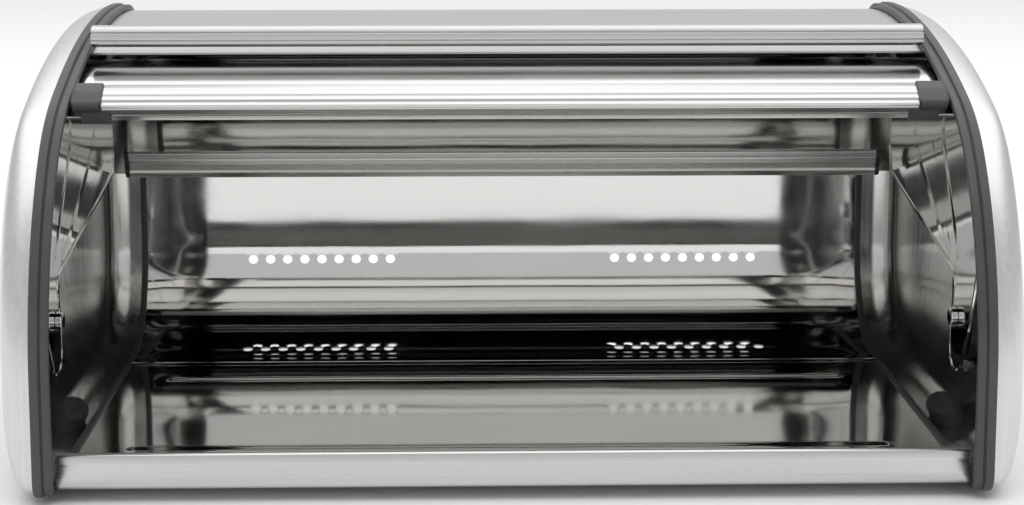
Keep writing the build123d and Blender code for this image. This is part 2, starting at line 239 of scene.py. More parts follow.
def corner_arc(before, here, after, radius, steps):
    """Points of the arc that rounds the corner `here`, or just the corner where it can't be rounded."""
    here = Vector(here)
    before = Vector(before) - here
    after = Vector(after) - here
    if radius <= 0 or before.length < 1e-6 or after.length < 1e-6:
        return [tuple(here)]
    half = before.angle(after) / 2
    if half > math.pi / 2 - 0.02:
        return [tuple(here)]
    cut = min(radius / math.tan(half), 0.49 * before.length, 0.49 * after.length)
    r = cut * math.tan(half)
    middle = here + (before.normalized() + after.normalized()).normalized() * (r / math.sin(half))
    start = here + before.normalized() * cut - middle
    end = here + after.normalized() * cut - middle
    first = math.atan2(start.y, start.x)
    turn = math.remainder(math.atan2(end.y, end.x) - first, math.tau)
    angles = [first + turn * k / steps for k in range(steps + 1)]
    return [(middle.x + r * math.cos(a), middle.y + r * math.sin(a)) for a in angles]


def rounded(corners, steps=5):
    """Points of a closed polygon whose corners, each (u, v, radius), are rounded with arcs."""
    points = []
    for i, (u, v, radius) in enumerate(corners):
        points += corner_arc(corners[i - 1][:2], (u, v), corners[(i + 1) % len(corners)][:2], radius, steps)
    return points


def bar(section, x0, x1, place, chamfer=0.25):
    """A bar along X with a closed section; its ends are lightly chamfered."""
    bm = bmesh.new()
    middle = Vector((sum(p[0] for p in section) / len(section), sum(p[1] for p in section) / len(section)))
    shrunk = [tuple(Vector(p) + (middle - Vector(p)).normalized() * chamfer) for p in section]
    loops = [
        [place(u, v, x0) for u, v in shrunk],
        [place(u, v, x0 + chamfer) for u, v in section],
        [place(u, v, x1 - chamfer) for u, v in section],
        [place(u, v, x1) for u, v in shrunk],
    ]
    rows = add_loops(bm, loops)
    bm.faces.new(rows[0])
    bm.faces.new(rows[-1])
    bmesh.ops.triangulate(bm, faces=[f for f in bm.faces if len(f.verts) > 4])
    return bm


def flat_place(back, z, x):
    """The point at a distance behind the rings' front, a height and an x."""
    return (x, back - DEPTH / 2, z)


def mirror_mesh(bm):
    """A mirrored copy of a bmesh, for the left-hand twin."""
    twin = bm.copy()
    bmesh.ops.transform(twin, matrix=Matrix.Scale(-1, 4, (1, 0, 0)), verts=twin.verts)
    bmesh.ops.reverse_faces(twin, faces=twin.faces)
    return twin


def pair(base, bm, materials, sharp_angle=32.0):
    """Makes the right-hand piece and its mirror twin."""
    twin = mirror_mesh(bm)
    for side, half in (("right", bm), ("left", twin)):
        node = side + "_" + base
        stand_for(finish_mesh(node + "_skin", half, materials, sharp_angle), node)


# ------------------------------------------------------------------ materials
def new_material(name, colour, metallic, roughness):
    """A new material and its Principled shader."""
    material = bpy.data.materials.new(name)
    material.use_nodes = True
    shader = material.node_tree.nodes["Principled BSDF"]
    shader.inputs["Base Color"].default_value = (*colour, 1.0)
    shader.inputs["Metallic"].default_value = metallic
    shader.inputs["Roughness"].default_value = roughness
    return material, shader


def noise_texture(material, scale, detail=3.0, roughness=0.55, distortion=0.0):
    """Noise in the object's own coordinates, stretched by a scale per metre along X, Y and Z."""
    nodes, links = material.node_tree.nodes, material.node_tree.links
    place = nodes.new("ShaderNodeTexCoord")
    stretch = nodes.new("ShaderNodeMapping")
    stretch.inputs["Scale"].default_value = scale
    texture = nodes.new("ShaderNodeTexNoise")
    texture.inputs["Scale"].default_value = 1.0
    texture.inputs["Detail"].default_value = detail
    texture.inputs["Roughness"].default_value = roughness
    texture.inputs["Distortion"].default_value = distortion
    links.new(place.outputs["Object"], stretch.inputs["Vector"])
    links.new(stretch.outputs["Vector"], texture.inputs["Vector"])
    return texture.outputs["Fac"]


def ramp(material, source, low, high, start=0.3, end=0.7):
    """Maps a 0-1 value to a range of numbers."""
    node = material.node_tree.nodes.new("ShaderNodeMapRange")
    node.inputs["From Min"].default_value = start
    node.inputs["From Max"].default_value = end
    node.inputs["To Min"].default_value = low
    node.inputs["To Max"].default_value = high
    material.node_tree.links.new(source, node.inputs["Value"])
    return node.outputs["Result"]


def colour_ramp(material, source, low, high, start=0.3, end=0.7):
    """Maps a 0-1 value to a range of colours."""
    node = material.node_tree.nodes.new("ShaderNodeValToRGB")
    node.color_ramp.elements[0].position = start
    node.color_ramp.elements[0].color = (*low, 1.0)
    node.color_ramp.elements[1].position = end
    node.color_ramp.elements[1].color = (*high, 1.0)
    material.node_tree.links.new(source, node.inputs["Fac"])
    return node.outputs["Color"]


def add_bump(material, shader, source, distance):
    """Adds a bump of `distance` metres, on top of any that the shader already has."""
    nodes, links = material.node_tree.nodes, material.node_tree.links
    bump = nodes.new("ShaderNodeBump")
    bump.inputs["Distance"].default_value = distance
    links.new(source, bump.inputs["Height"])
    normal = shader.inputs["Normal"]
    if normal.is_linked:
        links.new(normal.links[0].from_socket, bump.inputs["Normal"])
    links.new(bump.outputs["Normal"], normal)


def brushed_steel(name, colour, low, high, grain, bump):
    """Steel with fine parallel scratches: roughness from low to high, `grain` the noise scale per metre
    along X, Y and Z, and `bump` the depth in metres."""
    material, shader = new_material(name, colour, 1.0, (low + high) / 2)
    links = material.node_tree.links
    lines = noise_texture(material, grain, detail=4.0, roughness=0.7)
    links.new(ramp(material, lines, low, high), shader.inputs["Roughness"])
    dark = tuple(c * 0.90 for c in colour)
    light = tuple(min(1.0, c * 1.06) for c in colour)
    links.new(colour_ramp(material, lines, dark, light, 0.25, 0.75), shader.inputs["Base Color"])
    add_bump(material, shader, lines, bump)
    return material


def mirror_steel(name, colour, low, high, wave):
    """Bright polished sheet: faint wipe marks, fine scratches and a slight waviness, `wave` metres deep."""
    scratch_depth = 0.0000015
    material, shader = new_material(name, colour, 1.0, low)
    links = material.node_tree.links
    smears = noise_texture(material, (14.0, 30.0, 30.0), detail=5.0, roughness=0.6, distortion=0.4)
    links.new(ramp(material, smears, low, high, 0.35, 0.8), shader.inputs["Roughness"])
    dark = tuple(c * 0.95 for c in colour)
    links.new(colour_ramp(material, smears, dark, colour), shader.inputs["Base Color"])
    hairs = noise_texture(material, (60.0, 1800.0, 1800.0), detail=2.0)
    add_bump(material, shader, hairs, scratch_depth)
    add_bump(material, shader, noise_texture(material, (11.0, 15.0, 15.0), detail=1.5), wave)
    return material


def moulded(name, colour, low, high, grain, bump, unevenness=0.15):
    """Moulded plastic or rubber: fine texture, rubbed patches and slightly uneven colour."""
    material, shader = new_material(name, colour, 0.0, (low + high) / 2)
    links = material.node_tree.links
    rubbed = noise_texture(material, (45.0, 45.0, 45.0), detail=6.0, roughness=0.65)
    links.new(ramp(material, rubbed, low, high), shader.inputs["Roughness"])
    dark = tuple(c * (1 - unevenness) for c in colour)
    light = tuple(c * (1 + unevenness) for c in colour)
    links.new(colour_ramp(material, rubbed, dark, light), shader.inputs["Base Color"])
    add_bump(material, shader, noise_texture(material, (grain, grain, grain), detail=2.0), bump)
    return material


STEEL = (0.66, 0.655, 0.645)
outer_steel = brushed_steel("roof_brushed", STEEL, 0.26, 0.38, (8.0, 1900.0, 1900.0), 0.000005)
trim_steel = brushed_steel("profile_brushed", (0.66, 0.65, 0.64), 0.22, 0.32, (9.0, 2400.0, 2400.0), 0.000003)
pan_outside = brushed_steel("pan_satin", (0.70, 0.70, 0.695), 0.32, 0.42, (700.0, 700.0, 16.0), 0.000003)
inner_mirror = mirror_steel("inside_mirror", (0.74, 0.735, 0.72), 0.04, 0.10, 0.00022)
lid_outside = mirror_steel("lid_polished", STEEL, 0.10, 0.20, 0.00012)
pan_inside = brushed_steel("pan_inside_satin", (0.70, 0.69, 0.675), 0.15, 0.26, (420.0, 420.0, 10.0), 0.000006)
arm_mirror = mirror_steel("arm_mirror", (0.70, 0.69, 0.68), 0.06, 0.15, 0.00030)
bright_steel = mirror_steel("bright_pin", (0.78, 0.77, 0.76), 0.10, 0.20, 0.00001)
trim_plastic = moulded("trim_plastic", (0.060, 0.060, 0.062), 0.34, 0.50, 1500.0, 0.000020)
black_plastic = moulded("black_plastic", (0.022, 0.022, 0.024), 0.28, 0.42, 1200.0, 0.000018)
nylon = moulded("nylon", (0.70, 0.70, 0.67), 0.40, 0.55, 1200.0, 0.000012, 0.05)
rubber = moulded("rubber", (0.030, 0.030, 0.031), 0.52, 0.72, 900.0, 0.000035)


# ------------------------------------------------------------------ sheets
def outline_segments():
    """Arcs and straights of the outline, each with its length, from the front round over the roof."""
    segments = []
    arcs = outline_arcs()
    ends = []
    for centre, radius, start, end, _ in arcs:
        for angle in (start, end):
            a = math.radians(angle)
            ends.append((centre[0] - radius * math.cos(a), centre[1] + radius * math.sin(a)))
    for i, (centre, radius, start, end, _) in enumerate(arcs):
        segments.append(("arc", centre, radius, start, end, radius * math.radians(end - start)))
        p, q = ends[2 * i + 1], ends[(2 * i + 2) % len(ends)]
        if math.dist(p, q) > 0.01:
            a = math.radians(end)
            segments.append(("line", p, q, -math.cos(a), math.sin(a), math.dist(p, q)))
    return segments


SEGMENTS = outline_segments()


def trace(s):
    """The station at a distance s along the outline."""
    for segment in SEGMENTS:
        length = segment[5]
        if s <= length or segment is SEGMENTS[-1]:
            t = s / length
            if segment[0] == "arc":
                _, centre, radius, start, end, _ = segment
                a = math.radians(start + (end - start) * t)
                n = (-math.cos(a), math.sin(a))
                return (centre[0] + radius * n[0], centre[1] + radius * n[1], n[0], n[1])
            _, p, q, nb, nz, _ = segment
            return (p[0] + (q[0] - p[0]) * t, p[1] + (q[1] - p[1]) * t, nb, nz)
        s -= length


def distance_where(test, start, end):
    """The distance along the outline where `test` of the station turns true, between start and end."""
    for _ in range(40):
        middle = (start + end) / 2
        if test(trace(middle)):
            end = middle
        else:
            start = middle
    return end


def spread(start, end, step):
    """Evenly spaced values from start to end, about `step` apart."""
    count = max(1, round(abs(end - start) / step))
    return [start + (end - start) * i / count for i in range(count + 1)]


def merged(*lists):
    """One sorted list of values with near-repeats left out."""
    nearest = 0.02
    result = []
    for value in sorted(v for values in lists for v in values):
        if not result or value - result[-1] > nearest:
            result.append(value)
    return result


def sheet_mesh(us, vs, place, thickness, holes=(), hole_radius=0.0):
    """A sheet over the grid us x vs. `place(u, v, depth)` gives a point; the far skin is at `thickness`.
    Each hole, a (u, v) centre, takes up a square of four by four cells, whose rim joins a true circle."""
    cells = 4
    bm = bmesh.new()
    near = [[bm.verts.new(place(u, v, 0.0)) for v in vs] for u in us]
    far = [[bm.verts.new(place(u, v, thickness)) for v in vs] for u in us]
    skipped = set()
    for hu, hv in holes:
        i0 = min(range(len(us)), key=lambda i: abs(us[i] - hu)) - cells // 2
        j0 = min(range(len(vs)), key=lambda j: abs(vs[j] - hv)) - cells // 2
        i1, j1 = i0 + cells, j0 + cells
        skipped |= {(i, j) for i in range(i0, i1) for j in range(j0, j1)}
        edge = [(i0 + k, j0) for k in range(cells)] + [(i1, j0 + k) for k in range(cells)]
        edge += [(i1 - k, j1) for k in range(cells)] + [(i0, j1 - k) for k in range(cells)]
        circles = []
        for depth, skin in ((0.0, near), (thickness, far)):
            circle = []
            for i, j in edge:
                a = math.atan2(vs[j] - hv, us[i] - hu)
                u, v = hu + hole_radius * math.cos(a), hv + hole_radius * math.sin(a)
                circle.append(bm.verts.new(place(u, v, depth)))
            for k in range(len(edge)):
                n = (k + 1) % len(edge)
                a, b = skin[edge[k][0]][edge[k][1]], skin[edge[n][0]][edge[n][1]]
                face = bm.faces.new((a, b, circle[n], circle[k]))
                face.material_index = 0 if skin is near else 1
            circles.append(circle)
        for k in range(len(edge)):
            n = (k + 1) % len(edge)
            bm.faces.new((circles[0][k], circles[0][n], circles[1][n], circles[1][k]))
    for i in range(len(us) - 1):
        for j in range(len(vs) - 1):
            if (i, j) in skipped:
                continue
            for index, skin in enumerate((near, far)):
                face = bm.faces.new((skin[i][j], skin[i + 1][j], skin[i + 1][j + 1], skin[i][j + 1]))
                face.material_index = index
    last_u, last_v = len(us) - 1, len(vs) - 1
    for i in range(last_u):
        bm.faces.new((near[i][0], near[i + 1][0], far[i + 1][0], far[i][0]))
        bm.faces.new((near[i][last_v], near[i + 1][last_v], far[i + 1][last_v], far[i][last_v]))
    for j in range(last_v):
        bm.faces.new((near[0][j], near[0][j + 1], far[0][j + 1], far[0][j]))
        bm.faces.new((near[last_u][j], near[last_u][j + 1], far[last_u][j + 1], far[last_u][j]))
    isolated = [v for v in bm.verts if not v.link_faces]
    bmesh.ops.delete(bm, geom=isolated, context="VERTS")
    return bm


def build_roof_and_back():
    """Roof, back and rear bend in one sheet, brushed outside and bright inside, with its round vents."""
    total = sum(segment[5] for segment in SEGMENTS)
    start = distance_where(lambda p: p[0] >= ROOF_FRONT, 0.0, total * 0.3)
    end = distance_where(lambda p: p[0] <= LAP_FRONT, total * 0.6, total * 0.95)
    upper = distance_where(lambda p: p[1] <= VENT_UPPER_Z, total * 0.45, total * 0.7)
    lower = distance_where(lambda p: p[0] <= VENT_LOWER_BACK, total * 0.5, total * 0.8)
    step = VENT_PITCH / 4
    reach = 2 * step
    rows = merged(spread(start, upper - reach, 4.0), spread(upper - reach, upper + reach, step),
                  spread(upper + reach, lower - reach, 3.0), spread(lower - reach, lower + reach, step),
                  spread(lower + reach, end, 4.0))
    half = SHEET_HALF_WIDTH
    first = VENT_FIRST_X - VENT_PITCH / 2
    last = first + VENTS * VENT_PITCH
    group = [first + k * step for k in range(4 * VENTS + 1)]
    columns = merged([-x for x in group], group, spread(-half, -last, 14.0), spread(-first, first, 14.0),
                     spread(last, half, 14.0))
    holes = []
    for side in (-1, 1):
        for k in range(VENTS):
            x = side * (VENT_FIRST_X + k * VENT_PITCH)
            holes += [(x, upper), (x, lower)]

    def place(x, s, depth):
        return at(trace(s), SHEET_INSET + depth, x)

    bm = sheet_mesh(columns, rows, place, SHEET, holes, VENT_RADIUS)
    piece = finish_mesh("roof_and_back_sheet", bm, [outer_steel, inner_mirror])
    return stand_for(piece, "roof_and_back_panel")


def build_floor():
    """The flat floor with two pressed beads and the lip that laps over the rear bend."""
    top = RING_BOTTOM + SHEET_INSET + SHEET
    half = SHEET_HALF_WIDTH
    bead_half, bead_reach, bead_rise = 160.0, 4.2, 1.2
    beads = (60.0, 176.0)
    front, rear = 12.0, 214.0
    backs = spread(front, rear, 6.0)
    for bead in beads:
        backs = merged(backs, spread(bead - 6.0, bead + 6.0, 0.6))
    backs = merged(backs, [LAP_FRONT - 0.9, LAP_FRONT - 0.2])
    xs = merged(spread(-half, half, 12.0), spread(-bead_half - 5.0, -bead_half + 3.0, 0.8),
                spread(bead_half - 3.0, bead_half + 5.0, 0.8))

    def place(x, back, depth):
        z = top - depth
        if back > LAP_FRONT - 0.5:
            z += SHEET
        for bead in beads:
            away = math.hypot(max(0.0, abs(x) - bead_half), back - bead)
            if away < bead_reach:
                z += bead_rise * (0.5 + 0.5 * math.cos(math.pi * away / bead_reach))
        return flat_place(back, z, x)

    bm = sheet_mesh(xs, backs, place, SHEET)
    piece = finish_mesh("floor_sheet", bm, [inner_mirror, outer_steel], 50.0)
    return stand_for(piece, "floor_panel")


def build_lid_panel():
    """The curved lid sheet, polished on both faces, with its front edge turned in."""
    angles = spread(LID_FRONT_ANGLE, LID_REAR_ANGLE, 1.5)
    xs = spread(-LID_HALF_WIDTH, LID_HALF_WIDTH, 15.0)

    def place(x, angle, depth):
        return polar(LID_RADIUS - depth, angle, x)

    bm = sheet_mesh(xs, angles, place, LID_SHEET)
    lip_half, lip_depth, lip_degrees = 168.0, 2.0, 0.38
    outer, inner = LID_RADIUS - LID_SHEET * 0.5, LID_RADIUS - lip_depth
    lip = [(outer, 0.0), (inner, 0.0), (inner, lip_degrees), (outer, lip_degrees)]
    rows = add_loops(bm, [[polar(r, LID_FRONT_ANGLE + a, x) for r, a in lip] for x in (-lip_half, lip_half)])
    for row in rows:
        bm.faces.new(row)
    piece = finish_mesh("lid_sheet", bm, [lid_outside, inner_mirror])
    return stand_for(piece, "lid_panel")


# ------------------------------------------------------------------ side pans and rings
def pan_profile():
    """Share of the outline and rise of each step from a pan's edge to its middle."""
    corner_steps, crown_steps, smallest = 10, 22, 0.03
    steps = []
    for i in range(corner_steps + 1):
        turn = math.pi / 2 * i / corner_steps
        steps.append((1 - SHOULDER_SHARE * (1 - math.cos(turn)), SHOULDER_RISE * math.sin(turn)))
    last = 1 - SHOULDER_SHARE
    for i in range(1, crown_steps + 1):
        steps.append((last + (smallest - last) * i / crown_steps, SHOULDER_RISE))
    return [(k, rise + CROWN_RISE * (1 - k ** 2)) for k, rise in steps]


def pan_point(station, inset, x, scale):
    """As at(), with the lower front corner growing rounder as the pan rises from its edge."""
    share = min(1.0, (1.0 - scale) / SHOULDER_SHARE)
    radius = FRONT_LOW_RADIUS + (PAN_CORNER_RADIUS - FRONT_LOW_RADIUS) * share
    back = station[0] - station[2] * inset
    z = station[1] - station[3] * inset
    corner = Vector((radius, RING_BOTTOM + radius))
    out = Vector((back, z)) - corner
    if out.x < 0 and out.y < 0 and out.length > radius - inset:
        back, z = corner + out.normalized() * (radius - inset)
    return at((back, z, 0.0, 0.0), 0.0, x, scale)


def build_pans():
    """Crowned, deep-drawn sides: satin outside, bright inside, with a straight edge inside the ring."""
    steps = pan_profile()
    inner_inset = DOME_INSET + SHEET
    outer_x = RING_OUTER_X + SHEET
    loops = [[pan_point(p, inner_inset, RING_OUTER_X + rise, k) for p in STATIONS]
             for k, rise in reversed(steps)]
    loops.append([at(p, inner_inset, RING_PAN_X) for p in STATIONS])
    loops.append([at(p, DOME_INSET, RING_PAN_X) for p in STATIONS])
    loops += [[pan_point(p, DOME_INSET, outer_x + rise, k) for p in STATIONS] for k, rise in steps]
    bm = bmesh.new()
    rows = [[bm.verts.new(p) for p in one] for one in loops]
    inner_count = len(steps)
    for r, (a, b) in enumerate(zip(rows, rows[1:])):
        for i in range(len(a)):
            j = (i + 1) % len(a)
            face = bm.faces.new((a[i], a[j], b[j], b[i]))
            face.material_index = 1 if r < inner_count else 0
    for row, index in ((rows[0], 1), (rows[-1], 0)):
        centre = sum((v.co for v in row), Vector()) / len(row)
        middle = bm.verts.new(centre)
        for i in range(len(row)):
            face = bm.faces.new((row[i], row[(i + 1) % len(row)], middle))
            face.material_index = index
    pair("side_pan", bm, [pan_outside, pan_inside], 50.0)


def lid_limit(station, depth):
    """How far a ring may reach inwards at a station, up to `depth`, before it meets the lid's path."""
    clearance = 1.4
    path_start, path_end = -15.0, 99.0
    back, z = station[0] - PIVOT_BACK, station[1] - PIVOT_Z
    angle = math.degrees(math.atan2(z, -back))
    if path_start < angle < path_end:
        return min(depth, math.hypot(back, z) - LID_RADIUS - clearance)
    return depth


def build_rings():
    """Dark plastic edging: two rounded bands with a groove between, and an inner leg over the sheets.
    The section's points are (inset, x, corner radius)."""
    groove = 1.25
    loops = []
    for station in STATIONS:
        reach = lid_limit(station, RING_LIP_DEPTH)
        section = rounded([
            (0.0, RING_OUTER_X, 1.0), (DOME_INSET, RING_OUTER_X, 0.3), (DOME_INSET, RING_PAN_X, 0),
            (reach, RING_PAN_X, 0.4), (reach, RING_INNER_X, 0.6), (0.7, RING_INNER_X, 0.9),
            (0.7, RING_STEP_X - 0.7, 0.5), (groove, RING_STEP_X - 0.35, 0.2),
            (groove, RING_STEP_X + 0.05, 0.2), (0.0, RING_STEP_X + 0.3, 1.0),
        ], 4)
        loops.append([at(station, inset, x) for inset, x in section])
    bm = bmesh.new()
    add_loops(bm, loops, close_along=True)
    bottom = RING_BOTTOM + 1.0         # the leg ends where the outline leaves the underside
    start = next(i for i, p in enumerate(STATIONS) if p[0] >= ROOF_FRONT)
    end = max(i for i, p in enumerate(STATIONS) if p[1] < bottom)
    leg = STATIONS[start:end + 1]
    under = SHEET_INSET - 0.4
    section = rounded([
        (under, RING_LEG_X + 2.0, 0), (SHEET_INSET + SHEET, RING_LEG_X + 0.1, 0.2),
        (RING_LEG_DEPTH, RING_LEG_X, 0.5), (RING_LEG_DEPTH, RING_PAN_X, 0.5), (under, RING_PAN_X, 0),
    ], 4)
    rows = add_loops(bm, [[at(station, inset, x) for inset, x in section] for station in leg])
    bm.faces.new(rows[0])
    bm.faces.new(rows[-1])
    pair("trim_ring", bm, [trim_plastic], 55.0)


# ------------------------------------------------------------------ bars
def folded(path, thickness, steps):
    """Closed section of a folded strip: its outer line is `path`, each point being (u, v, bend radius),
    and a negative thickness lies on the line's right."""
    line = [path[0][:2]]
    for i in range(1, len(path) - 1):
        line += corner_arc(path[i - 1][:2], path[i][:2], path[i + 1][:2], path[i][2], steps)
    line.append(path[-1][:2])
    inner = []
    for i, (u, v) in enumerate(line):
        along = (Vector(line[min(len(line) - 1, i + 1)]) - Vector(line[max(0, i - 1)])).normalized()
        inner.append((u - along.y * thickness, v + along.x * thickness))
    return line + inner[::-1]


def steel_bar(name, node, section, half, place):
    """A brushed steel bar, centred on the middle plane, that stands for a CAD node."""
    piece = finish_mesh(name, bar(section, -half, half, place), [trim_steel], 40.0)
    return stand_for(piece, node)


def build_sill():
    """Brushed front rail, folded from one strip: flange under the floor, bulged face and rolled top."""
    low = RING_BOTTOM + SHEET_INSET - SHEET
    front = 6.2
    path = [(24.0, low, 0), (front + 0.4, low, 2.4), (front - 0.25, 10.0, 8.0), (front - 0.1, 16.0, 8.0),
            (front + 0.5, SILL_TOP, 1.8), (front + 3.8, SILL_TOP, 1.4), (front + 3.8, SILL_TOP - 6.0, 0)]
    half = node_box("front_sill")[1].x
    steel_bar("sill_rail", "front_sill", folded(path, -SHEET, 7), half, flat_place)


def build_roof_profile():
    """Ribbed finishing bar on the roof's front edge."""
    low, top, front, rear = 174.2, 182.4, 116.2, 126.4
    hook = ROOF_FRONT + 5.0
    section = rounded([
        (front + 1.2, low, 0.4), (front, low + 0.2, 0.5), (front, low + 1.4, 0.35),
        (front + 0.6, low + 1.7, 0.12), (front, low + 2.1, 0.3), (front + 0.1, low + 4.8, 0.4),
        (front + 0.8, low + 5.2, 0.15), (front + 0.25, low + 5.7, 0.3), (front + 1.3, top - 0.7, 0.8),
        (front + 4.0, top, 2.0),
        (rear - 1.6, top, 2.0), (rear, top - 1.8, 1.4), (rear, low + 1.0, 0.2), (rear - 0.8, low + 1.0, 0.2),
        (rear - 0.8, top - 2.2, 1.0), (front + 4.0, top - 0.9, 1.6), (front + 1.7, top - 2.4, 0.6),
        (front + 1.6, low + 0.8, 0.2), (hook, low + 0.8, 0.2), (hook, low - 0.4, 0.2),
        (ROOF_FRONT + 0.4, low - 1.4, 0.4), (ROOF_FRONT - 0.6, low - 0.3, 0.4), (ROOF_FRONT - 1.6, low, 0.3),
    ], 5)
    half = node_box("roof_front_profile")[1].x
    steel_bar("roof_edge_profile", "roof_front_profile", section, half, flat_place)


def handle_section(grow=0.0):
    """Tip radius and end angles of the handle's section."""
    return HANDLE_TIP_RADIUS + grow, LID_FRONT_ANGLE - grow / 2, LID_FRONT_ANGLE + 6.0 + grow / 2


def lid_rounded(corners, steps=5):
    """Rounds corners given as (radius, angle, bend in mm) and returns (radius, angle) points."""
    per_degree = LID_RADIUS * math.pi / 180
    flat = [(r, a * per_degree, bend) for r, a, bend in corners]
    return [(r, v / per_degree) for r, v in rounded(flat, steps)]


def build_handle():
    """The ribbed bar along the lid's front edge."""
    tip, low, high = handle_section()
    base = LID_RADIUS + 0.05
    section = lid_rounded([
        (base, low + 0.2, 0.2), (tip - 3.6, low - 1.1, 0.3), (tip - 3.0, low - 0.9, 0.12),
        (tip - 2.4, low - 1.4, 0.3), (tip - 0.9, low - 1.3, 0.5), (tip - 0.8, low - 0.5, 0.3),
        (tip - 1.1, low - 0.2, 0.1),
        (tip - 0.3, low + 0.1, 0.3), (tip - 0.2, low + 1.0, 0.3), (tip - 0.7, low + 1.3, 0.12),
        (tip - 0.1, low + 1.7, 0.3), (tip + 0.1, low + 2.8, 0.8), (tip - 0.5, low + 3.2, 0.12),
        (tip - 0.2, low + 3.7, 0.4), (tip - 0.8, low + 5.4, 0.8), (tip - 2.2, high, 1.0),
        (base + 2.4, high + 0.1, 0.6), (base, high + 1.2, 0.2),
    ], 5)
    steel_bar("handle_bar", "lid_handle_profile", section, HANDLE_HALF_LENGTH, polar)


def build_handle_caps():
    """Plastic ends of the handle, each a soft-edged barrel with a hook round the lid's front edge."""
    tip, low, high = handle_section(0.7)
    barrel = lid_rounded([
        (LID_RADIUS + 0.05, low + 0.3, 0.3), (tip - 3.4, low - 1.2, 1.4), (tip - 0.4, low - 1.1, 2.4),
        (tip, low + 2.6, 3.0), (tip - 0.8, high - 0.3, 2.6), (LID_RADIUS + 2.6, high + 0.2, 1.4),
        (LID_RADIUS + 0.05, high + 1.2, 0.4),
    ], 6)
    edge, r = LID_FRONT_ANGLE, LID_RADIUS
    hook = lid_rounded([
        (r - 2.0, edge + 4.2, 0.5), (r - 3.4, edge + 3.0, 1.0), (r - 3.4, edge + 0.1, 1.2),
        (r - 2.2, edge - 0.7, 0.6), (r + 4.6, edge - 0.9, 0.8), (r + 5.0, edge - 0.2, 0.6),
        (r + 1.0, edge + 4.2, 0.4),
    ], 5)
    bm = bar(barrel, HANDLE_HALF_LENGTH - 0.2, CAP_OUTER_X, polar, 1.1)
    lower = bar(hook, HANDLE_HALF_LENGTH - 3.4, CAP_OUTER_X - 3.4, polar, 0.6)
    mesh = bpy.data.meshes.new("hook")
    lower.to_mesh(mesh)
    bm.from_mesh(mesh)
    lower.free()
    bpy.data.meshes.remove(mesh)
    pair("handle_cap", bm, [trim_plastic], 40.0)


def rear_section(solid=False):
    """Section of the clip on the lid's rear edge, or of the plug that fills it."""
    end, r = LID_REAR_ANGLE, LID_RADIUS
    outside = [
        (r + 0.9, end - 5.6, 0.3), (r + 0.9, end + 0.5, 0.6), (r - 1.6, end + 0.7, 1.0),
        (r - 3.5, end + 0.3, 0.9), (r - 3.5, end - 1.2, 0.5), (r - 2.7, end - 1.6, 0.15),
        (r - 3.2, end - 2.0, 0.4), (r - 3.3, end - 3.6, 0.8), (r - 2.6, end - 4.6, 0.3),
        (r - 2.3, end - 4.9, 0.15), (r - 2.5, end - 5.4, 0.3), (r - 1.7, end - 6.4, 0.4),
        (r - LID_SHEET, end - 6.6, 0.2),
    ]
    if solid:
        return lid_rounded(outside + [(r, end - 5.6, 0.2)], 4)
    inside = [(r - LID_SHEET, end - 0.2, 0.1), (r, end, 0.1), (r, end - 5.6, 0.1)]
    return lid_rounded(outside + inside, 4)


def build_rear_profile():
    """Ribbed clip along the lid's rear edge, with small end plugs."""
    half = REAR_PROFILE_HALF_LENGTH
    steel_bar("rear_edge_clip", "lid_rear_profile", rear_section(), half, polar)
    plug_end = node_box("right_rear_plug")[1].x
    bm = bar(rear_section(solid=True), half, plug_end, polar, 0.4)
    pair("rear_plug", bm, [black_plastic], 40.0)


# ------------------------------------------------------------------ arms
def arm_outline():
    """Front edge, tongue, rear edge and arc top of the side plate, as (back, z, corner radius)."""
    top_radius = LID_RADIUS - 0.3

    def on_top(angle, bend):
        _, y, z = polar(top_radius, angle, 0)
        return (y + DEPTH / 2, z, bend)

    edge = [
        on_top(58.5, 3.0), (62.5, 140.0, 12.0), (80.0, 117.0, 22.0), (87.0, 98.0, 24.0), (90.0, 80.0, 24.0),
        (95.0, 66.0, 20.0), (106.0, 44.0, 40.0), (120.0, 24.0, 20.0), (130.0, 21.5, 9.0), (139.5, 27.0, 9.0),
        (139.5, 42.0, 20.0), (133.0, 59.0, 12.0), (133.5, 66.0, 5.0), on_top(LID_REAR_ANGLE, 3.0),
    ]
    return edge + [on_top(angle, 0.0) for angle in spread(LID_REAR_ANGLE - 2.0, LID_FRONT_ANGLE + 2.0, 3.0)]


def arm_x(back, z):
    """Inner face of the side plate: flat at the top, leaning outwards below, flat again round the pivot,
    with two shallow pressed creases that fan out from the pivot."""
    axis = math.radians(ARM_AXIS_ANGLE)
    d = (back - PIVOT_BACK, z - PIVOT_Z)
    reach = -d[0] * math.cos(axis) + d[1] * math.sin(axis)
    bend_top, bend_low, blend = 80.0, 24.0, 5.0
    slope = (ARM_LOW_X - LID_HALF_WIDTH) / (bend_top - bend_low)

    def eased(v):
        if v < -blend:
            return 0.0
        if v > blend:
            return v
        return (v + blend) ** 2 / (4 * blend)

    x = LID_HALF_WIDTH + slope * (eased(bend_top - reach) - eased(bend_low - reach))
    distance = math.hypot(*d)
    angle = math.degrees(math.atan2(d[1], -d[0]))
    crease_angles, crease_rise, crease_width = (84.0, 122.0), 0.9, 2.6
    crease_start, crease_end = 26.0, LID_RADIUS - 6.0
    fade_in = min(1.0, max(0.0, (distance - crease_start) / 16.0))
    fade_out = min(1.0, max(0.0, (crease_end - distance) / 10.0))
    for crease in crease_angles:
        across = abs(distance * math.sin(math.radians(angle - crease)))
        if across < crease_width:
            x += crease_rise * fade_in * fade_out * (0.5 + 0.5 * math.cos(math.pi * across / crease_width))
    return x


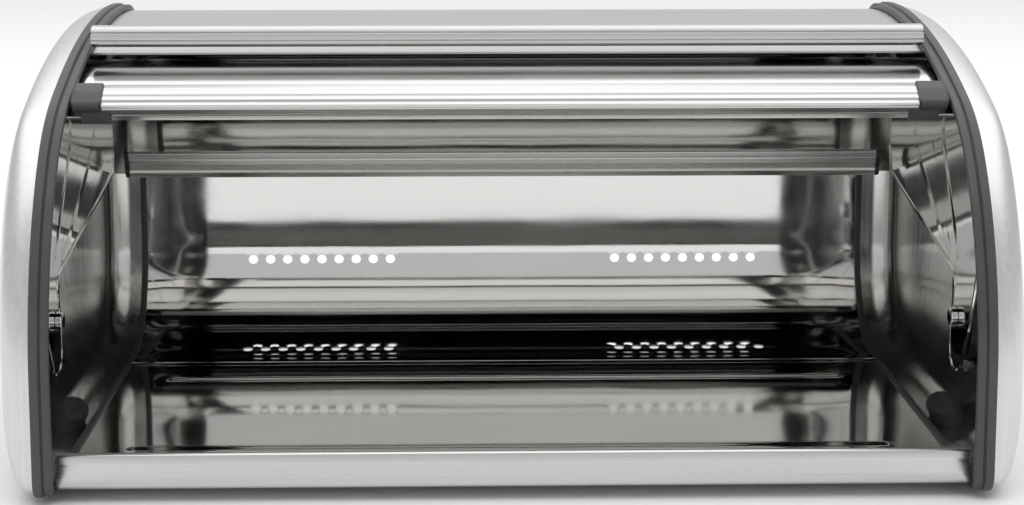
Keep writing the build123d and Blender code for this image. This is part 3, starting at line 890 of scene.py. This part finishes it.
def build_arms():
    """Polished side plates of the lid with rolled edges, cut into small faces so that they bend smoothly."""
    edge = rounded(arm_outline(), 8)
    flat = bmesh.new()
    flat.faces.new([flat.verts.new((0.0, b, z)) for b, z in edge])
    bmesh.ops.triangulate(flat, faces=flat.faces[:])
    cell = 2.0
    for axis, low, high in ((1, 50.0, 245.0), (2, 20.0, 175.0)):
        for value in spread(low, high, cell):
            spot = [0.0, 0.0, 0.0]
            spot[axis] = value
            normal = [0.0, 0.0, 0.0]
            normal[axis] = 1.0
            geometry = flat.verts[:] + flat.edges[:] + flat.faces[:]
            bmesh.ops.bisect_plane(flat, geom=geometry, dist=0.01, plane_co=spot, plane_no=normal)
    bmesh.ops.dissolve_degenerate(flat, dist=0.01, edges=flat.edges[:])
    border = {v for e in flat.edges if e.is_boundary for v in e.verts}
    bm = bmesh.new()
    near, far = {}, {}
    for v in flat.verts:
        x = arm_x(v.co.y, v.co.z)
        near[v] = bm.verts.new((x, v.co.y - DEPTH / 2, v.co.z))
        far[v] = bm.verts.new((x + ARM_SHEET, v.co.y - DEPTH / 2, v.co.z))
    for face in flat.faces:
        bm.faces.new([near[v] for v in face.verts])
        bm.faces.new([far[v] for v in reversed(face.verts)])
    for e in flat.edges:
        if e.is_boundary:
            a, b = e.verts
            bm.faces.new((near[a], near[b], far[b], far[a]))
    flat.free()
    rim_top = 150.0
    pivot = (PIVOT_BACK, PIVOT_Z)
    add_rim(bm, [p for p in edge if p[1] < rim_top and math.dist(p, pivot) < LID_RADIUS - 2.0])
    pair("lid_arm", bm, [arm_mirror], 40.0)


def add_rim(bm, line):
    """A small rolled bead along a line of (back, z) points on the plate's edge."""
    radius, sides = 0.95, 8
    loops = []
    for i, (back, z) in enumerate(line):
        before, after = line[max(0, i - 1)], line[min(len(line) - 1, i + 1)]
        along = Vector((after[0] - before[0], after[1] - before[1])).normalized()
        out = Vector((along.y, -along.x))
        x = arm_x(back, z) + ARM_SHEET / 2
        loop = []
        for k in range(sides):
            a = math.tau * k / sides
            loop.append((x + radius * math.cos(a), back + out.x * radius * math.sin(a) - DEPTH / 2,
                         z + out.y * radius * math.sin(a)))
        loops.append(loop)
    rows = add_loops(bm, loops)
    bm.faces.new(rows[0])
    bm.faces.new(rows[-1])


# ------------------------------------------------------------------ pivots and bumpers
def outline_share(back, z):
    """How large the outline, shrunk towards the middle of the side, has to be to pass through a point."""
    d = Vector((back - DEPTH / 2, z - MIDDLE_Z))
    best = 1.0
    inset = DOME_INSET + SHEET
    for a, b in zip(STATIONS, STATIONS[1:] + STATIONS[:1]):
        p = Vector((a[0] - a[2] * inset - DEPTH / 2, a[1] - a[3] * inset - MIDDLE_Z))
        q = Vector((b[0] - b[2] * inset - DEPTH / 2, b[1] - b[3] * inset - MIDDLE_Z))
        cross = d.x * (q.y - p.y) - d.y * (q.x - p.x)
        if abs(cross) < 1e-9:
            continue
        t = (p.x * (q.y - p.y) - p.y * (q.x - p.x)) / cross
        u = (p.x * d.y - p.y * d.x) / cross
        if t > 0 and -1e-6 <= u <= 1 + 1e-6:
            best = 1.0 / t
    return best


def pan_inside_x(back, z):
    """X of the pan's inner face over a point of the side view."""
    k = min(1.0, outline_share(back, z))
    turn = math.acos(max(0.0, 1 - (1 - k) / SHOULDER_SHARE))
    return RING_OUTER_X + SHOULDER_RISE * math.sin(turn) + CROWN_RISE * (1 - k ** 2)


def build_bosses():
    """Round black seats of the pivots: a dished face with a soft rim, and a skirt that follows the pan.
    Each ring of the face is (radius, depth)."""
    face_x = node_box("right_pivot_boss")[0].x
    rings = [(3.1, 0.9), (3.1, 0.0), (9.6, 0.0), (10.4, 0.5), (15.6, 0.9), (16.4, 0.4), (18.4, 0.1),
             (19.5, 0.5), (20.0, 1.4)]
    sides = 64
    loops = []
    for radius, depth in rings:
        loops.append([(face_x + depth, PIVOT_BACK + radius * math.cos(math.tau * k / sides) - DEPTH / 2,
                       PIVOT_Z + radius * math.sin(math.tau * k / sides)) for k in range(sides)])
    skirt = []
    for x, y, z in loops[-1]:
        skirt.append((max(x + 0.05, pan_inside_x(y + DEPTH / 2, z) + 0.3), y, z))
    loops.append(skirt)
    bm = bmesh.new()
    add_loops(bm, loops)
    pair("pivot_boss", bm, [black_plastic], 60.0)


def build_bumpers():
    """Oval rubber pads low in the pans, rounded over the top: each level is (inset, height)."""
    lean = math.radians(24.0)
    root = Vector((199.5, 106.0 - DEPTH / 2, 2.5))
    up = Vector((-math.sin(lean), 0.0, math.cos(lean)))
    side = Vector((math.cos(lean), 0.0, math.sin(lean)))
    half_wide, half_long, height, steps = 7.0, 15.0, 12.0, 48
    levels = [(0.0, 3.0), (0.0, height - 2.0), (0.25, height - 1.1), (0.8, height - 0.4), (1.8, height),
              (4.2, height), (5.4, height - 0.5)]
    loops = []
    for inset, level in levels:
        loop = []
        for k in range(steps):
            a = math.tau * k / steps
            p = root + up * level + side * (half_wide - inset) * math.cos(a)
            p += Vector((0.0, (half_long - inset) * math.sin(a), 0.0))
            loop.append(tuple(p))
        loops.append(loop)
    bm = bmesh.new()
    rows = add_loops(bm, loops)
    bm.faces.new(rows[0])
    bm.faces.new(rows[-1])
    pair("lid_bumper", bm, [rubber], 60.0)


def dress_small_parts():
    """CAD pieces whose own shape is right get their finished materials."""
    finishes = {"front_feet": rubber, "rear_feet": rubber}
    for side in ("left_", "right_"):
        finishes[side + "pivot_stud"] = bright_steel
        finishes[side + "pivot_cap"] = bright_steel
        finishes[side + "pivot_washer"] = nylon
    for node, material in finishes.items():
        slots = frame["nodes"][node].data.materials
        slots.clear()
        slots.append(material)


build_roof_and_back()
build_floor()
build_lid_panel()
build_pans()
build_rings()
build_sill()
build_roof_profile()
build_handle()
build_handle_caps()
build_rear_profile()
build_arms()
build_bosses()
build_bumpers()
dress_small_parts()


# ------------------------------------------------------------------ stage, light and camera
def add_floor():
    """A plain pale floor."""
    material, _ = new_material("studio_floor", (0.93, 0.93, 0.93), 0.0, 0.75)
    bm = bmesh.new()
    half = 6000.0
    corners = ((-half, -half, 0), (half, -half, 0), (half, half, 0), (-half, half, 0))
    bm.faces.new([bm.verts.new(p) for p in corners])
    finish_mesh("studio_floor", bm, [material])


def add_light(name, place, size, power, target=(0.0, 0.0, 0.08)):
    """A rectangular soft light aimed at the object; sizes and places in metres."""
    data = bpy.data.lights.new(name, "AREA")
    data.shape = "RECTANGLE"
    data.size, data.size_y = size
    data.energy = power
    lamp = bpy.data.objects.new(name, data)
    lamp.location = place
    lamp.rotation_euler = (Vector(target) - Vector(place)).to_track_quat("-Z", "Y").to_euler()
    bpy.context.scene.collection.objects.link(lamp)


def add_world():
    """Plain soft grey surroundings."""
    world = bpy.data.worlds.new("studio")
    bpy.context.scene.world = world
    world.use_nodes = True
    background = world.node_tree.nodes["Background"]
    background.inputs["Color"].default_value = (1.0, 1.0, 1.0, 1.0)
    background.inputs["Strength"].default_value = 0.62


def add_camera():
    """The camera, in front of the bin and a little above it; places in metres."""
    pitch_down, turn_right = 8.484, 1.384
    data = bpy.data.cameras.new("camera")
    data.sensor_width = 36.0
    data.lens = 74.76
    data.shift_y = -0.1
    data.clip_end = 50.0
    camera = bpy.data.objects.new("camera", data)
    camera.location = (-0.0214, -0.9584, 0.2668)
    camera.rotation_euler = (math.radians(90.0 - pitch_down), 0.0, math.radians(-turn_right))
    bpy.context.scene.collection.objects.link(camera)
    bpy.context.scene.camera = camera


add_floor()
add_world()
add_light("top_soft", (0.0, 0.3, 2.2), (5.4, 4.2), 68.0)
add_camera()

scene = bpy.context.scene
scene.view_settings.view_transform = "Standard"
